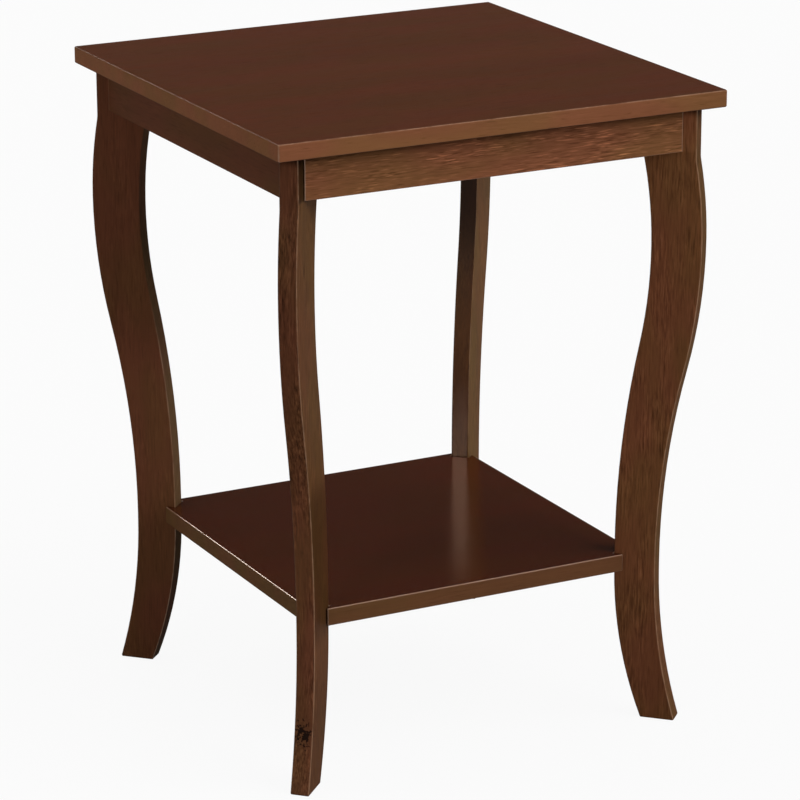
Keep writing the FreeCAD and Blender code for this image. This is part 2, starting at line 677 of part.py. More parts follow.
def make_leg_bolts():
    body = new_body("leg_bolts", DIAGONAL)
    shape = new_sketch(body, "BoltShape", "XZ_Plane", BOLT_PLACE)
    washers = "flat_washer_thickness + spring_washer_thickness"
    steps = [("bolt_head_height", "bolt_head_radius"), ("bolt_length", "bolt_radius")]
    draw_steps(shape, steps, start="-(" + washers + " + bolt_head_height)")
    bolt = turn_round(body, shape)

    head_face = BLOCK_IN + " - (" + washers + ") - bolt_head_height"
    socket = new_sketch(body, "BoltSocket", "YZ_Plane", ("0", LOWER_BOLT, head_face))
    # corner to corner, a hexagon is its flats over the cosine of 30 degrees
    half_corner = "socket_size / (2 * cos(30))"
    half_side = "socket_size / (4 * cos(30))"
    half_flat = "socket_size / 2"
    draw_polygon(
        socket,
        [
            (half_corner, "0"),
            (half_side, half_flat),
            ("-" + half_side, half_flat),
            ("-" + half_corner, "0"),
            ("-" + half_side, "-" + half_flat),
            (half_side, "-" + half_flat),
        ],
    )
    recess = pocket(body, socket, "socket_depth", reverse=True)
    repeat(body, "BoltCopies", [bolt, recess], spacing="bolt_spacing", corners=True)
    return body


def make_ring(label, start, thickness, outer_radius, hole_radius, split=None):
    """A washer or insert round the axis of a leg bolt, and its copies."""
    body = new_body(label, DIAGONAL)
    shape = new_sketch(body, label + "_section", "XZ_Plane", BOLT_PLACE)
    draw_polygon(shape, box_corners(start, start + " + " + thickness, hole_radius, outer_radius))
    features = [turn_round(body, shape)]
    if split:
        gap = new_sketch(body, label + "_split", "XZ_Plane", BOLT_PLACE)
        above = "2 * " + outer_radius
        draw_polygon(gap, box_corners(start, start + " + " + thickness, "0", above))
        cut = pocket(body, gap, split)
        cut.Midplane = True
        features.append(cut)
    repeat(body, label + "_copies", features, spacing="bolt_spacing", corners=True)
    return body


def make_bolt_rings():
    hole = "bolt_radius + bolt_clearance"
    flat_start = "-flat_washer_thickness"
    spring_start = "-flat_washer_thickness - spring_washer_thickness"
    return [
        make_ring("flat_washers", flat_start, "flat_washer_thickness", "flat_washer_radius", hole),
        make_ring(
            "spring_washers",
            spring_start,
            "spring_washer_thickness",
            "spring_washer_radius",
            hole,
            split="spring_washer_split",
        ),
        make_ring(
            "threaded_inserts",
            "block_thickness",
            "insert_length",
            "insert_radius",
            "bolt_radius + fit_clearance",
        ),
    ]


def make_block_screws():
    body = new_body("block_screws")
    shape = new_sketch(body, "BlockScrew", "YZ_Plane", SIDE_SCREW_PLACE, BACKWARD)
    steps = [("screw_head_height", "screw_head_radius"), ("side_screw_length", "screw_radius")]
    draw_steps(shape, steps, start="-screw_head_height")
    screw = turn_round(body, shape)
    copies = {"mirror": "YZ_Plane", "spacing": "bolt_spacing", "corners": True}
    repeat(body, "BlockScrewCopies", [screw], **copies)
    return body


def make_top_screws():
    body = new_body("top_screws", DIAGONAL)
    shape = new_sketch(body, "TopScrew", "XZ_Plane", RISE_SCREW_PLACE, UP)
    steps = [("screw_head_height", "screw_head_radius"), ("rise_screw_length", "screw_radius")]
    draw_steps(shape, steps, start="-screw_head_height")
    screw = turn_round(body, shape)
    repeat(body, "TopScrewCopies", [screw], mirror="XZ_Plane", corners=True)
    return body


def make_top_dowels():
    body = new_body("top_dowels")
    shape = new_sketch(body, "TopDowel", "YZ_Plane", DOWEL_PLACE, DOWN)
    draw_steps(shape, [("dowel_length", "dowel_radius")])
    dowel = turn_round(body, shape)
    repeat(body, "TopDowelCopies", [dowel], mirror="YZ_Plane", corners=True)
    return body


def make_cam_bolts():
    body = new_body("cam_bolts", DIAGONAL)
    shape = new_sketch(body, "CamBolt", "XZ_Plane", CAM_BOLT_PLACE, BACKWARD)
    steps = [
        ("cam_thread_length", "cam_thread_radius"),
        ("(cam_reach - cam_neck_length - cam_head_length / 2)", "cam_shank_radius"),
        ("cam_neck_length", "cam_neck_radius"),
        ("cam_head_length", "cam_shank_radius"),
    ]
    draw_steps(shape, steps, start="-cam_thread_length")
    bolt = turn_round(body, shape)
    repeat(body, "CamBoltCopies", [bolt], corners=True)
    return body


def make_cam_locks():
    body = new_body("cam_locks", DIAGONAL)
    face = "(" + SHELF_UNDER + " + cam_recess)"
    disc = new_sketch(body, "CamDisc", "XY_Plane", ("0", "0", face))
    draw_circle(disc, CAM_AXIS, "0", "cam_radius")
    features = [pad(body, disc, "cam_height")]

    bore = new_sketch(body, "CamBore", "XZ_Plane", CAM_BOLT_PLACE, BACKWARD)
    draw_steps(bore, [("cam_reach + cam_head_length", "cam_bore_radius")])
    features.append(turn_round(body, bore, "Groove"))

    half_length = "cam_slot_length / 2"
    half_width = "cam_slot_width / 2"
    for name, across, up in (
        ("CamSlotAlong", half_length, half_width),
        ("CamSlotAcross", half_width, half_length),
    ):
        slot = new_sketch(body, name, "XY_Plane", (CAM_AXIS, "0", face))
        draw_polygon(slot, box_corners("-" + across, across, "-" + up, up))
        features.append(pocket(body, slot, "cam_slot_depth", reverse=True))
    repeat(body, "CamCopies", features, corners=True)
    return body


# ---------------------------------------------------------------------------------------------
# Build, check and write
# ---------------------------------------------------------------------------------------------

def build_all():
    parts = [make_top_panel(), make_shelf()]
    for side, turn in SIDES.items():
        parts.append(make_apron(side, turn))
    for corner, turn in CORNERS.items():
        parts.append(make_corner_block(corner, turn))
        parts.append(make_leg(corner, turn))
    parts.append(make_leg_bolts())
    parts.extend(make_bolt_rings())
    parts.append(make_block_screws())
    parts.append(make_top_screws())
    parts.append(make_top_dowels())
    parts.append(make_cam_bolts())
    parts.append(make_cam_locks())
    return parts


def check_document(parts):
    for item in doc.Objects:
        bad = [state for state in item.State if state in ("Invalid", "Error")]
        if bad:
            raise RuntimeError("%s is %s" % (item.Label, ", ".join(bad)))
    for part in parts:
        if part.Shape.isNull() or not part.Shape.isValid():
            raise RuntimeError("%s has no valid shape" % part.Label)


parts = build_all()
doc.recompute()
check_document(parts)
os.makedirs("parts", exist_ok=True)
for part in parts:
    part.Shape.exportStep(os.path.join("parts", part.Label + ".step"))
    print("%-28s %2d solids  %10.1f mm3" % (part.Label, len(part.Shape.Solids), part.Shape.Volume))
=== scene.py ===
import math
from collections import namedtuple

import bpy
from mathutils import Matrix, Vector

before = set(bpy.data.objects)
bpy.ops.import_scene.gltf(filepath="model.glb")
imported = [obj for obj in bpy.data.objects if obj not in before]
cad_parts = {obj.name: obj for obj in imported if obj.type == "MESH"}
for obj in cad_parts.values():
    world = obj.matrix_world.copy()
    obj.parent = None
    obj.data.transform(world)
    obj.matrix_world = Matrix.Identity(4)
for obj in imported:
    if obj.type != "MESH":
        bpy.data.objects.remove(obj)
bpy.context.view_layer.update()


def direction(azimuth, elevation):
    """The way from the table to what stands at an azimuth and elevation."""
    azimuth = math.radians(azimuth)
    elevation = math.radians(elevation)
    return Vector((
        math.sin(azimuth) * math.cos(elevation),
        -math.cos(azimuth) * math.cos(elevation),
        math.sin(elevation),
    ))


# ---------------------------------------------------------------------------------------- camera

CAMERA_PLACE = (-1.545285, -3.002499, 1.363775)
CAMERA_AZIMUTH = -27.344
CAMERA_ELEVATION = 17.616
CAMERA_ROLL = -0.139
# These two are in millimetres, as Blender has them.
CAMERA_LENS = 167.3
SENSOR_WIDTH = 36.0


def make_camera():
    """The camera at the viewing angle of the picture, with no shift and no depth of field."""
    back = direction(CAMERA_AZIMUTH, CAMERA_ELEVATION)
    azimuth = math.radians(CAMERA_AZIMUTH)
    roll = math.radians(CAMERA_ROLL)
    level = Vector((math.cos(azimuth), math.sin(azimuth), 0.0))
    above = back.cross(level)
    right = level * math.cos(roll) + above * math.sin(roll)
    up = above * math.cos(roll) - level * math.sin(roll)
    data = bpy.data.cameras.new("camera")
    data.lens = CAMERA_LENS
    data.sensor_width = SENSOR_WIDTH
    camera = bpy.data.objects.new("camera", data)
    turn = Matrix((right, up, back)).transposed()
    camera.matrix_world = Matrix.Translation(CAMERA_PLACE) @ turn.to_4x4()
    bpy.context.scene.collection.objects.link(camera)
    bpy.context.scene.camera = camera


# ---------------------------------------------------------------------------------- node helpers


def set_input(tree, socket, value):
    """Gives a socket a value, or a link where the value is another node's output."""
    if isinstance(value, bpy.types.NodeSocket):
        tree.links.new(value, socket)
    else:
        socket.default_value = value


def add_node(tree, kind, settings=None, inputs=None):
    """Adds a node with its own settings and its inputs."""
    made = tree.nodes.new(kind)
    for name, value in (settings or {}).items():
        setattr(made, name, value)
    for name, value in (inputs or {}).items():
        set_input(tree, made.inputs[name], value)
    return made


def calculate(tree, operation, first, second=0.0, third=0.0):
    """One sum on numbers."""
    inputs = {0: first, 1: second, 2: third}
    return add_node(tree, "ShaderNodeMath", {"operation": operation}, inputs).outputs[0]


def vector_sum(tree, operation, first, second, output="Vector"):
    """One sum on vectors."""
    inputs = {0: first, 1: second}
    return add_node(tree, "ShaderNodeVectorMath", {"operation": operation}, inputs).outputs[output]


def part_of(tree, vector, axis):
    """One part of a vector."""
    return add_node(tree, "ShaderNodeSeparateXYZ", None, {0: vector}).outputs[axis]


def spread(tree, value, low, high, to_low=0.0, to_high=1.0):
    """A value carried from one range to another, held at its ends and eased between them."""
    settings = {"interpolation_type": "SMOOTHSTEP", "clamp": True}
    inputs = {
        "Value": value,
        "From Min": low,
        "From Max": high,
        "To Min": to_low,
        "To Max": to_high,
    }
    return add_node(tree, "ShaderNodeMapRange", settings, inputs).outputs["Result"]


def blend_values(tree, factor, first, second):
    """Two numbers put together by a factor."""
    inputs = {0: factor, 2: first, 3: second}
    return add_node(tree, "ShaderNodeMix", {"data_type": "FLOAT"}, inputs).outputs[0]


def blend_colours(tree, factor, first, second, how="MIX"):
    """Two colours put together by a factor."""
    settings = {"data_type": "RGBA", "blend_type": how, "clamp_factor": True}
    mix = add_node(tree, "ShaderNodeMix", settings)
    for name, value in {"Factor_Float": factor, "A_Color": first, "B_Color": second}.items():
        set_input(tree, next(s for s in mix.inputs if s.identifier == name), value)
    return next(s for s in mix.outputs if s.identifier == "Result_Color")


def opaque(colour):
    """A colour with its alpha."""
    return (*colour, 1.0)


def toned(tree, colour, tone):
    """A colour made lighter or darker by a number."""
    shade = add_node(tree, "ShaderNodeCombineColor", None, {0: tone, 1: tone, 2: tone}).outputs[0]
    return blend_colours(tree, 1.0, colour, shade, "MULTIPLY")


def bumped(tree, pattern, strength, depth):
    """The normal of a surface that a pattern raises."""
    inputs = {"Strength": strength, "Distance": depth, "Height": pattern}
    return add_node(tree, "ShaderNodeBump", None, inputs).outputs[0]


def new_material(name):
    """A material with an empty node tree."""
    material = bpy.data.materials.new(name)
    material.use_nodes = True
    material.node_tree.nodes.clear()
    return material


def put_shader(tree, inputs):
    """The shader of a material and its output."""
    shader = add_node(tree, "ShaderNodeBsdfPrincipled", None, inputs)
    add_node(tree, "ShaderNodeOutputMaterial", None, {"Surface": shader.outputs[0]})


# ------------------------------------------------------------------------------- floor and light

WHITE = (1.0, 1.0, 1.0)
FLOOR_HALF = 20.0
FLOOR_CORNERS = ((-1, -1), (1, -1), (1, 1), (-1, 1))
FLOOR_COLOUR = (0.50, 0.50, 0.50)
# How much of what is seen of the floor is plain white. The rest is lit, and carries the shadow.
FLOOR_WHITE = 0.93

# The studio is white at the horizon and fades to dim walls between the first two elevations. It
# grows to a soft ceiling between the second two.
HORIZON_FADES = (3.2, 6.5)
CEILING_GROWS = (32.0, 58.0)
HORIZON_LIGHT = 0.96
WALL_LIGHT = 0.024
CEILING_LIGHT = 0.50

Lamp = namedtuple("Lamp", "azimuth elevation strength angle")
LAMPS = {
    "key_light": Lamp(40.0, 38.0, 2.2, 46.0),
    "top_light": Lamp(-150.0, 78.0, 1.15, 60.0),
    "side_light": Lamp(-55.0, 15.0, 0.45, 14.0),
    "rim_light": Lamp(193.0, 29.0, 2.4, 22.0),
    "edge_light": Lamp(55.0, 58.0, 0.40, 26.0),
    "glow": Lamp(-63.0, 27.0, 12.0, 24.0),
}
# These are only mirrored in the lacquer: the first two by the eased edges of the panels, and the
# glow by the inner side of the back leg, and from there by the shelf.
MIRRORED_ONLY = ("rim_light", "edge_light", "glow")
# This one is never mirrored, as it would turn the shelf white when seen from behind.
NEVER_MIRRORED = ("key_light",)
# The other lamps are white.
LAMP_COLOURS = {"glow": (1.0, 0.66, 0.48), "rim_light": (1.0, 0.86, 0.77)}


def make_floor():
    """A plain pale floor. What is seen or mirrored of it is mostly white, with a faint shadow."""
    material = new_material("floor")
    tree = material.node_tree
    matt = add_node(tree, "ShaderNodeBsdfDiffuse", None, {"Color": opaque(FLOOR_COLOUR)})
    white = add_node(tree, "ShaderNodeEmission", None, {"Strength": 1.0})
    path = add_node(tree, "ShaderNodeLightPath").outputs
    seen = calculate(tree, "ADD", path["Is Camera Ray"], path["Is Glossy Ray"])
    seen = calculate(tree, "ADD", seen, path["Is Transmission Ray"])
    seen = calculate(tree, "MINIMUM", seen, 1.0)
    share = calculate(tree, "MULTIPLY", seen, FLOOR_WHITE)
    shaders = {0: share, 1: matt.outputs[0], 2: white.outputs[0]}
    mix = add_node(tree, "ShaderNodeMixShader", None, shaders)
    add_node(tree, "ShaderNodeOutputMaterial", None, {"Surface": mix.outputs[0]})
    mesh = bpy.data.meshes.new("floor")
    corners = [(x * FLOOR_HALF, y * FLOOR_HALF, 0.0) for x, y in FLOOR_CORNERS]
    mesh.from_pydata(corners, [], [range(len(corners))])
    mesh.materials.append(material)
    floor = bpy.data.objects.new("floor", mesh)
    bpy.context.scene.collection.objects.link(floor)


def make_world():
    """A white horizon that meets the floor, dim walls, and a soft bright ceiling."""
    world = bpy.data.worlds.new("studio")
    world.use_nodes = True
    bpy.context.scene.world = world
    tree = world.node_tree
    tree.nodes.clear()
    height = part_of(tree, add_node(tree, "ShaderNodeTexCoord").outputs["Generated"], "Z")
    fades = [math.sin(math.radians(elevation)) for elevation in HORIZON_FADES]
    grows = [math.sin(math.radians(elevation)) for elevation in CEILING_GROWS]
    below = spread(tree, height, *fades, HORIZON_LIGHT, WALL_LIGHT)
    above = spread(tree, height, *grows, 0.0, CEILING_LIGHT - WALL_LIGHT)
    inputs = {"Color": opaque(WHITE), "Strength": calculate(tree, "ADD", below, above)}
    background = add_node(tree, "ShaderNodeBackground", None, inputs)
    add_node(tree, "ShaderNodeOutputWorld", None, {"Surface": background.outputs[0]})


def make_lamps():
    """Wide soft lamps, far away, so that the floor is lit the same all over."""
    for name, lamp in LAMPS.items():
        data = bpy.data.lights.new(name, "SUN")
        data.energy = lamp.strength
        data.angle = math.radians(lamp.angle)
        data.color = LAMP_COLOURS.get(name, WHITE)
        made = bpy.data.objects.new(name, data)
        made.visible_diffuse = name not in MIRRORED_ONLY
        made.visible_glossy = name not in NEVER_MIRRORED
        made.rotation_mode = "QUATERNION"
        made.rotation_quaternion = direction(lamp.azimuth, lamp.elevation).to_track_quat("Z", "Y")
        bpy.context.scene.collection.objects.link(made)


# --------------------------------------------------------------------------------------- patterns

# A pattern of noise: its features to the metre along and across the grain, and the settings of
# the noise. Patterns from different stretches of the noise don't fall together.
Pattern = namedtuple(
    "Pattern", "along across detail roughness distortion stretch", defaults=(2.0, 0.5, 0.0, 0)
)
STRETCH_STEP = (7.3, 3.1, 5.7)
NOISE_MIDDLE = 0.5

# Patterns of stained wood.
DRIFT = Pattern(2.5, 14.0)
FIGURE = Pattern(5.0, 85.0, detail=3.0, roughness=0.55, distortion=0.6)
FIBRES = Pattern(58.0, 640.0, roughness=0.65)
PORES = Pattern(45.0, 950.0, detail=1.0)
PATCHES = Pattern(16.0, 55.0, detail=1.0, stretch=1)
FLECKS = Pattern(60.0, 640.0, detail=1.0, stretch=2)
MARKS = Pattern(55.0, 420.0, detail=1.0, stretch=3)
HUES = Pattern(9.0, 24.0, detail=1.0, stretch=4)
WEAR = Pattern(60.0, 60.0, detail=3.0, roughness=0.7)
SPECKS = Pattern(330.0, 260.0, roughness=0.7)

# Patterns of wood out of sight.
RINGS = Pattern(6.0, 110.0, detail=3.0, distortion=0.8)
SAWN_FIBRES = Pattern(60.0, 1100.0)

# The pattern of a metal's tone.
CLOUDS = Pattern(180.0, 180.0, detail=3.0)


def in_board(tree, vector, axes):
    """A vector's parts along the grain, across the board, and through it."""
    parts = [vector_sum(tree, "DOT_PRODUCT", vector, axis, "Value") for axis in axes]
    return add_node(tree, "ShaderNodeCombineXYZ", None, dict(enumerate(parts))).outputs[0]


def noise(tree, place, pattern):
    """The noise of a pattern, with values round NOISE_MIDDLE."""
    if pattern.stretch:
        shift = [step * pattern.stretch for step in STRETCH_STEP]
        place = vector_sum(tree, "ADD", place, shift)
    scale = (pattern.along, pattern.across, pattern.across)
    inputs = {
        "Vector": vector_sum(tree, "MULTIPLY", place, scale),
        "Scale": 1.0,
        "Detail": pattern.detail,
        "Roughness": pattern.roughness,
        "Distortion": pattern.distortion,
    }
    return add_node(tree, "ShaderNodeTexNoise", None, inputs).outputs["Fac"]


def round_zero(tree, value):
    """Noise moved so that its middle is 0."""
    return calculate(tree, "SUBTRACT", value, NOISE_MIDDLE)


# ----------------------------------------------------------------------------------- stained wood

X_AXIS = (1.0, 0.0, 0.0)
Y_AXIS = (0.0, 1.0, 0.0)
Z_AXIS = (0.0, 0.0, 1.0)

# The noise at which a pattern starts to show, and at which it shows in full.
PATCHES_SHOW = (0.38, 0.64)
FLECKS_SHOW = (0.58, 0.72)
PORES_SHOW = (0.60, 0.72)
MARKS_SHOW = (0.66, 0.75)
HUES_SHOW = (0.36, 0.64)
WEAR_SHOWS = (0.30, 0.62)
SPECKS_SHOW = (0.62, 0.74)

# How strong fibres and flecks are in the faintest and in the strongest patches.
PATCH_STRENGTH = (0.35, 1.35)

# How squarely a face looks through the board when it starts to count as broad, and when it counts
# in full. The last pair is for end grain, and how squarely a face looks along the grain.
BROAD_FOR_GRAIN = (0.5, 0.9)
BROAD_FOR_COLOUR = (0.45, 0.75)
BROAD_FOR_COAT = (0.75, 0.97)
END_GRAIN_TURN = (0.80, 0.97)

# These bring the middle of an eased edge to 1.
CURVED_ARRIS = 4.0
STRAIGHT_ARRIS = 2.0

# The way to the front, with a share of up. Edges that look this way are paled with painted
# highlight, and the others are darkened with painted shade.
FRONT = (-0.29, -0.957, 0.50)

# Heights between which the corner under the top is darkened with painted shade, and between which
# the pale edges fade.
CORNER_SHADE = (0.588, 0.599)
HIGHLIGHT_AND_WEAR_FADE = (0.31, 0.38)
# How wide the pale line of painted highlight is down the ends of an apron.
END_LINE = 0.0016

# The stain is multiplied by something between these two.
REDDER = (1.04, 0.965, 1.03)
OLIVER = (0.965, 1.04, 0.95)

END_GRAIN = (0.035, 0.014, 0.007)
# The colour of the painted shade on the edges that don't look to the front.
EDGE_SHADE = (0.022, 0.010, 0.005)

KNOT = (0.012, 0.006, 0.004)
KNOT_PLACE = (-0.190, -0.190, 0.053)
# One over the knot's half-size along X, Y and Z.
KNOT_SHAPE = (80.0, 80.0, 42.0)
# How far from its middle, in half-sizes, the knot starts and is in full strength.
KNOT_GROWS = (1.0, 0.2)
# What its full strength adds to the noise of the specks, and the strengths between which specks
# start to show.
KNOT_ADDS = 0.21
KNOT_RIM = (0.0, 0.2)

# How much rougher the figure and the pores make the lacquer, and how deep the relief is.
FIGURE_ROUGHNESS = 0.15
PORE_ROUGHNESS = 0.10
RELIEF_DEPTH = 0.0002

# What can differ from board to board. The first six numbers say how much a pattern shows.
WOOD = {
    "drift": 0.22,
    "figure": 0.35,
    "fibre": 1.10,
    "fleck": 0.16,
    "pore": 0.20,
    "mark": 0.0,
    # how strong fibres and flecks are on the narrow faces, where the broad ones have 1
    "side_grain": 1.0,
    # how dark the end grain is, and the place of a small knot
    "end_grain": 0.6,
    "knot": None,
    # edges at the front, paled with painted highlight that is patchy like wear: how strongly, in
    # which colour, how glossy, how evenly, how much of that is left high up, and how far an edge
    # looks to the front when it starts to count and in full
    "edge": 0.45,
    "edge_colour": (0.26, 0.145, 0.080),
    "edge_coat": 0.5,
    "edge_even": 0.35,
    "edge_high": 1.0,
    "edge_turn": (0.32, 0.50),
    # how dark the painted shade on the other edges is
    "edge_dark": 0.8,
    # half the length of a board that has pale lines of painted highlight at its ends
    "end": None,
    # the tone of the painted shade in the corner under the top, and the bands of height of painted
    # shade and painted light
    "corner": 0.10,
    "shade_and_light_bands": (),
    "relief": 0.25,
    "roughness": 0.42,
    "specular": 0.004,
    # lacquer on the broad faces, and on the narrow ones
    "coat": 0.0,
    "coat_side": 0.0,
    "coat_roughness": 0.18,
    # whether the narrow faces follow a curve
    "curved": False,
}

# A spot of a board's surface: where it is and which way it looks, both also in the directions of
# the board, its place in the noise, and how squarely it looks through the board.
Surface = namedtuple("Surface", "spot outward board_spot board_outward place broad")


def surface_of(tree, axes, cut):
    """The surface of a board that was cut from a given place in the noise."""
    coordinates = add_node(tree, "ShaderNodeTexCoord").outputs
    board_spot = in_board(tree, coordinates["Object"], axes)
    board_outward = in_board(tree, coordinates["Normal"], axes)
    return Surface(
        spot=coordinates["Object"],
        outward=coordinates["Normal"],
        board_spot=board_spot,
        board_outward=board_outward,
        place=vector_sum(tree, "ADD", board_spot, cut),
        broad=calculate(tree, "ABSOLUTE", part_of(tree, board_outward, "Z")),
    )


def wood_grain(tree, at, look):
    """The tone of the stain round 1, with the figure, fibres and pores that shape the surface."""
    drift = noise(tree, at.place, DRIFT)
    figure = noise(tree, at.place, FIGURE)
    fibre = noise(tree, at.place, FIBRES)
    pores = spread(tree, noise(tree, at.place, PORES), *PORES_SHOW)
    flecks = spread(tree, noise(tree, at.place, FLECKS), *FLECKS_SHOW)
    marks = spread(tree, noise(tree, at.place, MARKS), *MARKS_SHOW)

    # Fibres and flecks stand out in some patches and fade in others.
    patches = noise(tree, at.place, PATCHES)
    strength = spread(tree, patches, *PATCHES_SHOW, *PATCH_STRENGTH)
    facing = spread(tree, at.broad, *BROAD_FOR_GRAIN, look["side_grain"], 1.0)
    strength = calculate(tree, "MULTIPLY", strength, facing)

    shares = (
        (round_zero(tree, drift), look["drift"]),
        (round_zero(tree, figure), look["figure"]),
        (calculate(tree, "MULTIPLY", round_zero(tree, fibre), strength), look["fibre"]),
        (calculate(tree, "MULTIPLY", flecks, strength), look["fleck"]),
        (pores, -look["pore"]),
        (marks, -look["mark"]),
    )
    tone = 1.0
    for pattern, share in shares:
        tone = calculate(tree, "MULTIPLY_ADD", pattern, share, tone)
    return tone, figure, fibre, pores


def shade_by_height(tree, at, look):
    """The painted shade in the corner under the top, and the painted shade and painted light in
    the bands of height of a leg.
    """
    height = part_of(tree, at.spot, "Z")
    # Painted shade: the corner under the top is darkened.
    tone = spread(tree, height, *CORNER_SHADE, 1.0, look["corner"])
    facing = spread(tree, at.broad, *BROAD_FOR_GRAIN)
    # Each band darkens the tone with painted shade where its value is below 1, and lightens it
    # with painted light where it is above 1.
    for band in look["shade_and_light_bands"]:
        above = spread(tree, height, band.low - band.soft, band.low + band.soft)
        below = spread(tree, height, band.high - band.soft, band.high + band.soft, 1.0, 0.0)
        inside = calculate(tree, "MULTIPLY", above, below)
        change = blend_values(tree, facing, band.narrow, band.broad)
        tone = calculate(tree, "MULTIPLY", tone, blend_values(tree, inside, 1.0, change))
    return tone


def knot_specks(tree, at, middle):
    """1 on the dark specks of a small knot, 0 elsewhere."""
    off = vector_sum(tree, "MULTIPLY", vector_sum(tree, "SUBTRACT", at.spot, middle), KNOT_SHAPE)
    distance = vector_sum(tree, "LENGTH", off, (0.0, 0.0, 0.0), "Value")
    near = spread(tree, distance, *KNOT_GROWS)
    specks = calculate(tree, "MULTIPLY_ADD", near, KNOT_ADDS, noise(tree, at.spot, SPECKS))
    dark = spread(tree, specks, *SPECKS_SHOW)
    return calculate(tree, "MULTIPLY", dark, spread(tree, near, *KNOT_RIM))


def stain(tree, at, tone, look):
    """The colour of the broad and narrow faces, which leans to red in some patches and to olive
    in others. End grain drinks more stain."""
    facing = spread(tree, at.broad, *BROAD_FOR_COLOUR)
    colour = blend_colours(tree, facing, opaque(look["side"]), opaque(look["face"]))
    hue = spread(tree, noise(tree, at.place, HUES), *HUES_SHOW)
    lean = blend_colours(tree, hue, opaque(REDDER), opaque(OLIVER))
    colour = blend_colours(tree, 1.0, colour, lean, "MULTIPLY")
    colour = toned(tree, colour, tone)
    ends = calculate(tree, "ABSOLUTE", part_of(tree, at.board_outward, "X"))
    ends = spread(tree, ends, *END_GRAIN_TURN, 0.0, look["end_grain"])
    colour = blend_colours(tree, ends, colour, opaque(END_GRAIN))
    if look["knot"]:
        colour = blend_colours(tree, knot_specks(tree, at, look["knot"]), colour, opaque(KNOT))
    return colour


def arris(tree, at, curved):
    """1 in the middle of the eased edges and 0 on the faces. On a curved board only the edges
    between broad and narrow faces count, as its narrow faces turn with the outline."""
    squares = vector_sum(tree, "MULTIPLY", at.board_outward, at.board_outward)
    if curved:
        through = part_of(tree, squares, "Z")
        rest = calculate(tree, "SUBTRACT", 1.0, through)
        mask = calculate(tree, "MULTIPLY", through, rest)
        mask = calculate(tree, "MULTIPLY", mask, CURVED_ARRIS)
    else:
        fourths = vector_sum(tree, "DOT_PRODUCT", squares, squares, "Value")
        mask = calculate(tree, "SUBTRACT", 1.0, fourths)
        mask = calculate(tree, "MULTIPLY", mask, STRAIGHT_ARRIS)
    return calculate(tree, "MULTIPLY", mask, mask)


def eased_edges(tree, at, look):
    """How far a spot is on an edge paled with painted highlight, patchy like wear, and on one
    darkened with painted shade.
    """
    highlight_and_wear = spread(tree, noise(tree, at.place, WEAR), *WEAR_SHOWS, look["edge_even"], 1.0)
    height = part_of(tree, at.spot, "Z")
    lower = spread(tree, height, *HIGHLIGHT_AND_WEAR_FADE, 1.0, look["edge_high"])
    highlight_and_wear = calculate(tree, "MULTIPLY", highlight_and_wear, lower)
    rounded = arris(tree, at, look["curved"])
    # Edges that look to the front are paled with painted highlight.
    turn = vector_sum(tree, "DOT_PRODUCT", at.outward, FRONT, "Value")
    front = calculate(tree, "MULTIPLY", rounded, spread(tree, turn, *look["edge_turn"]))
    # Edges that look away from the front are darkened with painted shade.
    dark = calculate(tree, "SUBTRACT", rounded, front)
    dark = calculate(tree, "MULTIPLY", dark, look["edge_dark"])
    # A pale line of painted highlight down each end of the board.
    if look["end"]:
        along = calculate(tree, "ABSOLUTE", part_of(tree, at.board_spot, "X"))
        line = spread(tree, along, look["end"] - END_LINE, look["end"])
        line = calculate(tree, "MULTIPLY", line, at.broad)
        front = calculate(tree, "MAXIMUM", front, line)
    return calculate(tree, "MULTIPLY", front, highlight_and_wear), dark


def stained_wood(name, axes, look):
    """Dark stained hardwood under a satin lacquer. Edges that look to the front are paled with
    painted highlight, patchy like wear, the other edges and the corner under the top are darkened
    with painted shade. The axes of the board are the way along its grain, across it and through
    it."""
    material = new_material(name)
    tree = material.node_tree
    at = surface_of(tree, axes, look["cut"])
    tone, figure, fibre, pores = wood_grain(tree, at, look)
    # The tone takes the painted shade and painted light by height.
    tone = calculate(tree, "MULTIPLY", tone, shade_by_height(tree, at, look))
    colour = stain(tree, at, tone, look)
    pale, dark = eased_edges(tree, at, look)
    # Painted shade on the edges that look away from the front, and painted highlight, patchy like
    # wear, on the ones that look to it.
    colour = blend_colours(tree, dark, colour, opaque(EDGE_SHADE))
    share = calculate(tree, "MULTIPLY", pale, look["edge"])
    colour = blend_colours(tree, share, colour, opaque(look["edge_colour"]))

    rough = round_zero(tree, figure)
    rough = calculate(tree, "MULTIPLY_ADD", rough, FIGURE_ROUGHNESS, look["roughness"])
    rough = calculate(tree, "MULTIPLY_ADD", pores, PORE_ROUGHNESS, rough)
    coat = calculate(tree, "MULTIPLY", pale, look["edge_coat"])
    if look["coat"] or look["coat_side"]:
        lacquer = spread(tree, at.broad, *BROAD_FOR_COAT, look["coat_side"], look["coat"])
        coat = calculate(tree, "MAXIMUM", coat, lacquer)
    relief = calculate(tree, "MULTIPLY_ADD", pores, -1.0, fibre)
    put_shader(tree, {
        "Base Color": colour,
        "Roughness": rough,
        "Normal": bumped(tree, relief, look["relief"], RELIEF_DEPTH),
        "Specular IOR Level": look["specular"],
        "Coat Weight": coat,
        "Coat Roughness": look["coat_roughness"],
    })
    return material


# ---------------------------------------------------------------------- panels, aprons and legs

